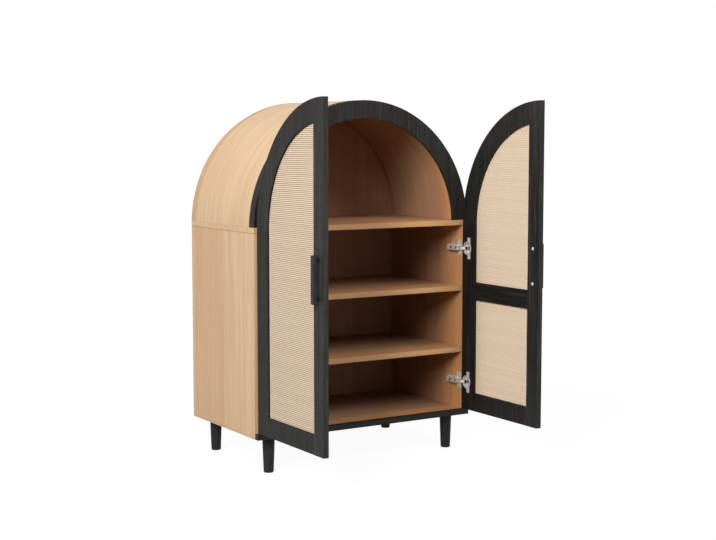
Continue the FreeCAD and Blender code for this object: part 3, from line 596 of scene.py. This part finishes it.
for node in ("right_front_leg", "left_front_leg", "right_rear_leg", "left_rear_leg"):
    eased(node, black_wood(node + "_black", upright_grain, shade=LEG_SHADE), ease=0)
refinish("foot_glides", plastic("glide_black", *GLIDE_BLACK))
zinc = metal("zinc_steel", STEEL_TONE, STEEL_DULL, 0.3)
refinish("leg_bolts", zinc)
refinish("leg_insert_nuts", zinc)


# The fittings inside the boards: beech pegs, cam locks with their bolts, and steel pegs under the
# shelves. The cams that face into the cabinet are covered with small foil discs of the oak's colour.
CAM_COVER_RADIUS = 0.0088
CAM_COVER_HEIGHT = 0.0004
CAM_COVER_RIM = 0.00015
CAM_COVER_SIDES = 40
CAM_COVER_SHIFT = 0.11
BEECH_TONES = colour(206, 172, 132), colour(186, 148, 108)
PIN_DULL = colour(120, 116, 110)


def beech(name):
    """Bare beech with short fine fibres, as pegs are turned from it."""
    finish = Finish(name)
    x, y, z = finish.place()
    fibres = finish.noise(x * 300, y * 300, z * 300, detail=3)
    tone = finish.mix(finish.band(fibres, 0.35, 0.7), *BEECH_TONES)
    return finish.principled(Base_Color=tone, Roughness=0.6, Normal=finish.bump(fibres, 0.0001, 0.5))


def solids_of(node):
    """The lowest and highest corners of each separate solid in a node, from the lowest corner up."""
    mesh = own_mesh(node)
    waiting = set(mesh.verts)
    corners = []
    while waiting:
        group = [waiting.pop()]
        for vert in group:
            for edge in vert.link_edges:
                other = edge.other_vert(vert)
                if other in waiting:
                    waiting.discard(other)
                    group.append(other)
        places = list(zip(*(vert.co for vert in group)))
        corners.append((Vector([min(axis) for axis in places]), Vector([max(axis) for axis in places])))
    mesh.free()
    return sorted(corners, key=lambda box: tuple(box[0]))


refinish("assembly_dowels", beech("beech_pegs"))
refinish("cam_locks", zinc)
refinish("cam_bolts", zinc)
refinish("shelf_pins", metal("shelf_pin_steel", STEEL_DULL, PIN_DULL, 0.35))

right_face_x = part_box("right_side_panel")[0].x
left_face_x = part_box("left_side_panel")[1].x
covers = bmesh.new()
for cam_low, cam_high in solids_of("cam_locks"):
    for face_x, outward, near in ((right_face_x, -1, cam_low.x), (left_face_x, 1, cam_high.x)):
        if abs(near - face_x) > CAM_COVER_RADIUS / 4:
            continue
        centre = Vector((face_x, (cam_low.y + cam_high.y) / 2, (cam_low.z + cam_high.z) / 2))
        turn = Matrix.Rotation(math.radians(90 * outward), 4, "Y")
        spot = Matrix.Translation(centre + Vector((outward * CAM_COVER_HEIGHT / 2, 0, 0))) @ turn
        bmesh.ops.create_cone(covers, cap_ends=True, segments=CAM_COVER_SIDES, radius1=CAM_COVER_RADIUS,
                              radius2=CAM_COVER_RADIUS - CAM_COVER_RIM, depth=CAM_COVER_HEIGHT,
                              matrix=spot)
cover_oak = oak("cam_cover_oak", upright_grain, CAM_COVER_SHIFT, inside=between_sides)
piece_beside("cam_locks", "cam_covers", covers, cover_oak)


# The door frames. Two stiles, a curved top rail and a bottom rail round a groove, with a thin brace
# planted across the inside at half height.
FRAME_SHIFT = 0.13


def cross_grain(finish):
    """For a rail across a door: through it in X, across the grain in Z, along it in Y."""
    x, y, z = finish.place()
    return x, z, y


# The hinge stiles, bottom rails and braces carry painted shade.
FRAME_LOOKS = {"hinge_stile": (upright_grain, LOW_PAINTED_SHADE), "meeting_stile": (upright_grain, WHITE),
               "arch_rail": (upright_grain, RING_SHADE), "bottom_rail": (upright_grain, LOW_PAINTED_SHADE),
               "brace_rail": (cross_grain, LOW_PAINTED_SHADE)}
for side in SIDES:
    for number, (member, (grain, shade)) in enumerate(FRAME_LOOKS.items()):
        node = f"{side}_{member}"
        eased(node, black_wood(node + "_black", grain, FRAME_SHIFT * number, shade))


# The cane panels. Rows of half-round cane woven over flat upright stakes with the round side out, each
# row over the stakes that its neighbours pass behind. The frame's groove holds the ends of the rows.
CANE_PITCH = 0.005
CANE_HEIGHT = 0.0053
CANE_ROUND = 0.0009
CANE_FLAT = 0.0002
CANE_SWING = 0.0005
CANE_SET_BACK = 0.0003
CANE_SIDES = 6
PARTS_PER_STAKE = 2
STAKE_STEP = 0.006
STAKE_WIDTH = 0.003
STAKE_THICK = 0.0005
GROOVE_BITE = 0.0075
END_PLAY = 0.0006
# How far a row may differ from its neighbours: the share of its swing, and its places along and up.
SWING_PLAY, LAG_PLAY, DRIFT_PLAY = 0.08, 0.04, 0.00008
CANE_SEED = 40
CANE_LIGHT = colour(244, 221, 193)
CANE_SHADE = colour(226, 197, 166)
CANE_BROWN = colour(190, 156, 122)
# Painted shade in the furrows between the rows: its colour and share, where across a row it lies, how
# much of it is left along the stiles and on the inner face, and how far in from the stiles it fades.
CANE_PAINTED_SHADE = colour(88, 68, 48)
ROW_SHARE, PATCH_SHARE, CANE_FIBRE_SHARE, FURROW_SHADE_SHARE = 0.3, 0.2, 0.35, 0.85
FURROW_EDGES = (0.18, 0.37)
STILE_SHADE_SHARE = 0.45
INSIDE_SHARE = 0.3
FADE_MARGIN = 0.012


def cane_strand(length, parts):
    """A closed strand along Y from 0 to its length, one unit thick in X and high in Z."""
    strand = bmesh.new()
    upright_edge = Matrix.Rotation(math.radians(180 / CANE_SIDES), 4, "Z")
    lying = Matrix.Translation((0, 0.5, 0)) @ Matrix.Rotation(math.radians(90), 4, "X") @ upright_edge
    bmesh.ops.create_cone(strand, cap_ends=True, segments=CANE_SIDES, radius1=0.5, radius2=0.5, depth=1,
                          matrix=lying)
    runs = [edge for edge in strand.edges if abs(edge.verts[0].co.y - edge.verts[1].co.y) > 0.5]
    bmesh.ops.subdivide_edges(strand, edges=runs, cuts=parts - 1, use_grid_fill=True)
    bmesh.ops.scale(strand, vec=(1, length, 1), verts=strand.verts)
    return strand


def put_into(whole, part):
    """Add one bmesh to another, and free it."""
    loose = bpy.data.meshes.new("loose")
    part.to_mesh(loose)
    part.free()
    whole.from_mesh(loose)
    bpy.data.meshes.remove(loose)


def cane(name, middle_x, outward, base_z, seen_low, seen_high):
    """Pale peeled cane: each row a little different, with painted shade in the furrows between the rows,
    faint on the inner face.

    The painted shade is weaker along the stiles.
    """
    finish = Finish(name)
    x, y, z = finish.place()
    rise = (z - base_z) / CANE_PITCH
    row = math.floor(rise + 0.5)
    out = (x - middle_x) * outward
    fibres = finish.noise(x * 1500, y * 40, z * 1900, detail=3, roughness=0.6)
    patches = finish.noise(row * 3.1, y * 26, 0)
    outside = finish.band(out, 0, CANE_ROUND / 2, INSIDE_SHARE, 1)
    margin = y.maths("MINIMUM", y - seen_low, seen_high - y)
    stile_fade = finish.band(margin, 0, FADE_MARGIN, STILE_SHADE_SHARE, 1)
    # Painted shade in the furrows, weaker on the inner face and near the stiles.
    furrow_shade = finish.band(abs(rise - row), *FURROW_EDGES) * outside * stile_fade
    tone = finish.mix(finish.dice(row + 0.5) * ROW_SHARE, CANE_LIGHT, CANE_SHADE)
    tone = finish.mix(finish.band(patches, 0.5, 0.8) * PATCH_SHARE, tone, CANE_SHADE)
    tone = finish.mix(finish.band(fibres, 0.55, 0.8) * CANE_FIBRE_SHARE, tone, CANE_BROWN)
    tone = finish.mix(furrow_shade * FURROW_SHADE_SHARE, tone, CANE_PAINTED_SHADE)
    return finish.principled(Base_Color=tone, Roughness=0.48 + fibres * 0.15,
                             Normal=finish.bump(fibres, 0.00008, 0.5), Specular_IOR_Level=0.3)


def cane_panel(side, outward, dice):
    """A door's woven panel: its rows from the bottom rail up into the arch, then its stakes."""
    low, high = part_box(side + "_rattan_panel")
    stile_low, stile_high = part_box(side + "_meeting_stile")
    tip_y, seen_low = stile_low.y, stile_high.y
    seen_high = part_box(side + "_hinge_stile")[0].y
    bend = seen_high - tip_y + GROOVE_BITE
    middle_x = (low.x + high.x) / 2
    start = low.y + END_PLAY
    base_z = low.z + CANE_HEIGHT / 2
    weave = bmesh.new()
    for row in range(int((high.z - low.z - CANE_HEIGHT) / CANE_PITCH) + 1):
        height = base_z + row * CANE_PITCH
        rise = max(0.0, height + CANE_HEIGHT / 2 - ARCH_CENTRE_Z)
        end = min(high.y - END_PLAY, tip_y + math.sqrt(max(0.0, bend ** 2 - rise ** 2)))
        if end - start < STAKE_STEP:
            continue
        strand = cane_strand(end - start, round((end - start) / STAKE_STEP * PARTS_PER_STAKE))
        swing = CANE_SWING * dice.uniform(1 - SWING_PLAY, 1 + SWING_PLAY) * (1 if row % 2 else -1)
        lag = dice.uniform(-LAG_PLAY, LAG_PLAY)
        drift = dice.uniform(-DRIFT_PLAY, DRIFT_PLAY)
        for vert in strand.verts:
            wave = math.sin(math.pi * (vert.co.y / STAKE_STEP + 0.5 + lag))
            bulge = vert.co.x * (CANE_ROUND if vert.co.x > 0 else CANE_FLAT) * 2
            vert.co.x = middle_x + outward * (bulge + swing * wave - CANE_SET_BACK)
            vert.co.y += start
            vert.co.z = height + drift + vert.co.z * CANE_HEIGHT
        if outward < 0:
            bmesh.ops.reverse_faces(strand, faces=strand.faces)
        put_into(weave, strand)
    stake_y = start + STAKE_STEP
    while stake_y + STAKE_WIDTH < high.y:
        rear_edge = stake_y + STAKE_WIDTH / 2 - tip_y
        top = min(high.z, ARCH_CENTRE_Z + math.sqrt(bend ** 2 - rear_edge ** 2))
        size = Matrix.Diagonal((STAKE_THICK, STAKE_WIDTH, top - low.z, 1))
        stand = Matrix.Translation((middle_x, stake_y, (top + low.z) / 2)) @ size
        bmesh.ops.create_cube(weave, size=1, matrix=stand)
        stake_y += STAKE_STEP
    material = cane(side + "_cane", middle_x, outward, base_z, seen_low, seen_high)
    piece_for(side + "_rattan_panel", side + "_cane_panel", weave, material)


for number, (side, outward) in enumerate((("right", 1), ("left", -1))):
    cane_panel(side, outward, random.Random(CANE_SEED + number))


# The handles. Flat bars of black coated metal on two feet, each near the meeting edge of its door and
# held by two screws from inside it.
HANDLE_BLACK = colour(46, 47, 53), colour(34, 35, 39)
HANDLE_EASE = 0.0003
HANDLE_HEAD = 0.0025
HANDLE_SHANK = 0.002
# The handle screws are nearly white and only a little mirror-like: a painted highlight for their bright
# heads.
SCREW_PAINTED_HIGHLIGHT = colour(252, 252, 250), colour(238, 238, 236)
# The head of a screw: how far its rim lies below its middle, and how deep its cross is sunk, as shares
# of its height; the cells it is divided into, and how far out the cross reaches.
DOME_SHARE = 0.3
CROSS_SHARE = 0.45
CROSS_CELLS = 9
CROSS_REACH = 0.7
SHANK_SIDES = 12


def coated(name):
    """Powder coat: a satin skin with the fine peel of fused powder."""
    finish = Finish(name)
    x, y, z = finish.place()
    peel = finish.noise(x * 1800, y * 1800, z * 1800)
    clouds = finish.noise(x * 70, y * 70, z * 30, detail=3)
    tone = finish.mix(finish.band(clouds, 0.35, 0.7), *HANDLE_BLACK)
    return finish.principled(Base_Color=tone, Roughness=0.4 + peel * 0.12,
                             Normal=finish.bump(peel, 0.00006, 0.35), Specular_IOR_Level=0.15)


def new_points(result):
    """The vertices that an operator has added."""
    return {item for item in result["geom"] if isinstance(item, bmesh.types.BMVert)}


def add_screw(mesh, tip, seat, way, radius, height, shank):
    """A domed head with a cross recess that looks along `way`, and a shank from its seat to its tip."""
    head = bmesh.new()
    bmesh.ops.create_grid(head, x_segments=CROSS_CELLS, y_segments=CROSS_CELLS, size=1)
    cross = []
    for face in head.faces:
        middle = face.calc_center_median()
        near, far = sorted((abs(middle.x), abs(middle.y)))
        if near < 1 / CROSS_CELLS and far < CROSS_REACH:
            cross.append(face)
    rim = [edge for edge in head.edges if edge.is_boundary]
    skirt = new_points(bmesh.ops.extrude_edge_only(head, edges=rim))
    sunk = new_points(bmesh.ops.extrude_face_region(head, geom=cross))
    bmesh.ops.delete(head, geom=cross, context="FACES")
    bmesh.ops.holes_fill(head, edges=[edge for edge in head.edges if edge.is_boundary])
    for vert in head.verts:
        across, up = vert.co.x, vert.co.y
        vert.co.x = across * math.sqrt(1 - up ** 2 / 2) * radius
        vert.co.y = up * math.sqrt(1 - across ** 2 / 2) * radius
        vert.co.z = height - height * DOME_SHARE * (vert.co.xy.length / radius) ** 2
        if vert in sunk:
            vert.co.z -= height * CROSS_SHARE
        if vert in skirt:
            vert.co.z = 0
    length = (seat - tip).length
    bmesh.ops.create_cone(head, cap_ends=True, segments=SHANK_SIDES, radius1=shank, radius2=shank,
                          depth=length, matrix=Matrix.Translation((0, 0, height / 4 - length / 2)))
    turn = Vector((0, 0, 1)).rotation_difference(way).to_matrix().to_4x4()
    bmesh.ops.transform(head, matrix=Matrix.Translation(seat) @ turn, verts=head.verts)
    bmesh.ops.recalc_face_normals(head, faces=head.faces)
    # The operators leave the faces in another order each time.
    in_turn = sorted(head.faces, key=lambda face: tuple(face.calc_center_median()))
    for number, face in enumerate(in_turn):
        face.index = number
    head.faces.sort()
    put_into(mesh, head)


def inward(middle):
    """From either side towards the middle of the cabinet."""
    return Vector((-math.copysign(1, middle.x), 0, 0))


def backward(middle):
    """From anywhere towards the rear of the cabinet."""
    return Vector((0, 1, 0))


def screw_set(node, facing, height, shank, material):
    """The screws of a node, made anew where its solids are, with heads that look as `facing` says."""
    mesh = bmesh.new()
    for low, high in solids_of(node):
        middle = (low + high) / 2
        way = facing(middle)
        reach = abs((high - low).dot(way)) / 2
        radius = (high.z - low.z) / 2
        add_screw(mesh, middle - way * reach, middle + way * (reach - height), way, radius, height, shank)
    piece_for(node, node + "_finished", mesh, material)


# Painted highlight: the screw heads shine white from every side.
screw_steel = metal("screw_steel", *SCREW_PAINTED_HIGHLIGHT, 0.3, 0.2, mirror=0.15)
for side in SIDES:
    eased(side + "_handle", coated(side + "_handle_black"), HANDLE_EASE)
    screw_set(side + "_handle_screws", inward, HANDLE_HEAD, HANDLE_SHANK, screw_steel)


# The concealed hinges. Satin nickel plate over steel: a cup pressed into the door with its flange, an
# arm with two adjusting screws, a winged plate screwed to the side, and a cranked link between arm and
# cup, which dips into the mouth of the cup, where painted shadow darkens cup and link.
NICKEL = colour(234, 230, 227), colour(212, 208, 204)
NICKEL_ROUGH = 0.4
NICKEL_MIRROR = 0.35
# Painted shadow in the mouth of the cup: its colour, and the box it fills on the cup and the link.
MOUTH_PAINTED_SHADOW = colour(26, 20, 18)
MOUTH_FRONT, MOUTH_REAR = 0.0445, 0.038
MOUTH_HALF_HEIGHT = 0.0078
MOUTH_EDGE = 0.0008
HINGE_EASE = 0.0003
HINGE_HEAD = 0.002
CUP_HEAD = 0.0012
HINGE_SHANK = 0.0015
# The two adjusting screws: their places along the arm, as shares of it, and their radii.
ADJUSTERS = ((0.66, 0.0034), (0.24, 0.0029))
ADJUSTER_STEEL = colour(96, 92, 84), colour(70, 66, 60)
ADJUSTER_HEAD = 0.0009
ADJUSTER_REACH = 0.0006
nickel = metal("nickel_plate", *NICKEL, NICKEL_ROUGH, 0.25, mirror=NICKEL_MIRROR)
dark_steel = metal("adjuster_steel", *ADJUSTER_STEEL, 0.45, 0.2, mirror=0.5)


def mouth_nickel(name, middle_z):
    """Satin nickel with painted shadow inside the mouth of the cup."""
    finish = Finish(name)
    x, y, z = finish.place()
    clouds = finish.noise(x * 60, y * 60, z * 60, detail=3)
    tone = finish.mix(finish.band(clouds, 0.35, 0.7), *NICKEL)
    past_rear = finish.band(y, -MOUTH_REAR, -MOUTH_REAR - MOUTH_EDGE)
    past_front = finish.band(y, -MOUTH_FRONT, -MOUTH_FRONT + MOUTH_EDGE)
    beside = finish.band(abs(z - middle_z), MOUTH_HALF_HEIGHT, MOUTH_HALF_HEIGHT - MOUTH_EDGE)
    # Painted shadow inside the mouth.
    tone = finish.mix(past_rear * past_front * beside, tone, MOUTH_PAINTED_SHADOW)
    roughness = NICKEL_ROUGH + clouds * 0.1
    return finish.principled(Base_Color=tone, Metallic=NICKEL_MIRROR, Roughness=roughness)


for side in SIDES:
    for level in ("lower", "upper"):
        hinge = f"{side}_{level}_hinge_"
        cup_low, cup_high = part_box(hinge + "cup")
        mouth = mouth_nickel(hinge + "mouth", (cup_low.z + cup_high.z) / 2)
        eased(hinge + "cup", mouth, HINGE_EASE)
        eased(hinge + "arm", nickel, HINGE_EASE)
        eased(hinge + "plate", nickel, HINGE_EASE)
        refinish(hinge + "link", mouth)
        arm_low, arm_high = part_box(hinge + "arm")
        way = inward((arm_low + arm_high) / 2)
        face_x = arm_low.x if way.x < 0 else arm_high.x
        screws = bmesh.new()
        for share, radius in ADJUSTERS:
            seat_y = arm_low.y + (arm_high.y - arm_low.y) * share
            seat = Vector((face_x, seat_y, (arm_low.z + arm_high.z) / 2))
            tip = seat - way * ADJUSTER_REACH
            add_screw(screws, tip, seat, way, radius, ADJUSTER_HEAD, radius / 2)
        piece_beside(hinge + "arm", hinge + "adjusters", screws, dark_steel)
    screw_set(side + "_hinge_cup_screws", inward, CUP_HEAD, HINGE_SHANK, nickel)
screw_set("hinge_plate_screws", inward, HINGE_HEAD, HINGE_SHANK, nickel)
screw_set("back_panel_screws", backward, HINGE_HEAD, HINGE_SHANK, zinc)
refinish("hinge_pins", zinc)
